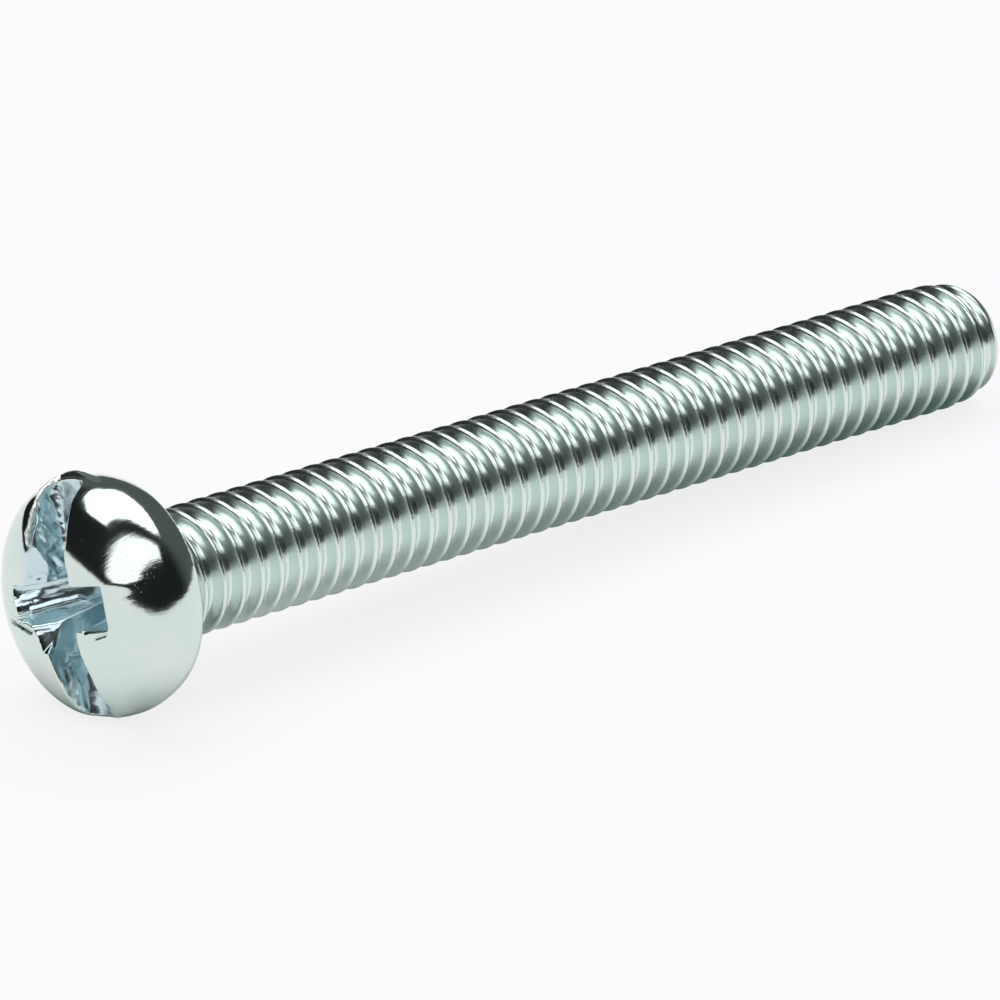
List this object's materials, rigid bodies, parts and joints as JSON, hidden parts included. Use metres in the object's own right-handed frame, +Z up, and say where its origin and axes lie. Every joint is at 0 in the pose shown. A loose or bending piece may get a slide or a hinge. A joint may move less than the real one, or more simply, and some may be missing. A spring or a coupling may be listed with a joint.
{
  "type": "machine screw",
  "caption": "Round head machine screw with a combined slot and cross drive and a full-length thread, for clamping parts into a tapped hole or a nut.",
  "frame": {"origin": "centre of the bottom of the bounding box, on the surface that the screw lies on", "axes": "+X towards the point, close to the screw's own axis, which drops 2.9 degrees to the point; +Z up"},
  "size_m": [0.0396, 0.0076, 0.0077],
  "materials": {
    "zinc": "bright zinc plate on steel, clear and slightly blue"
  },
  "bodies": {
    "root": {"screw": "zinc"}
  },
  "joints": []
}
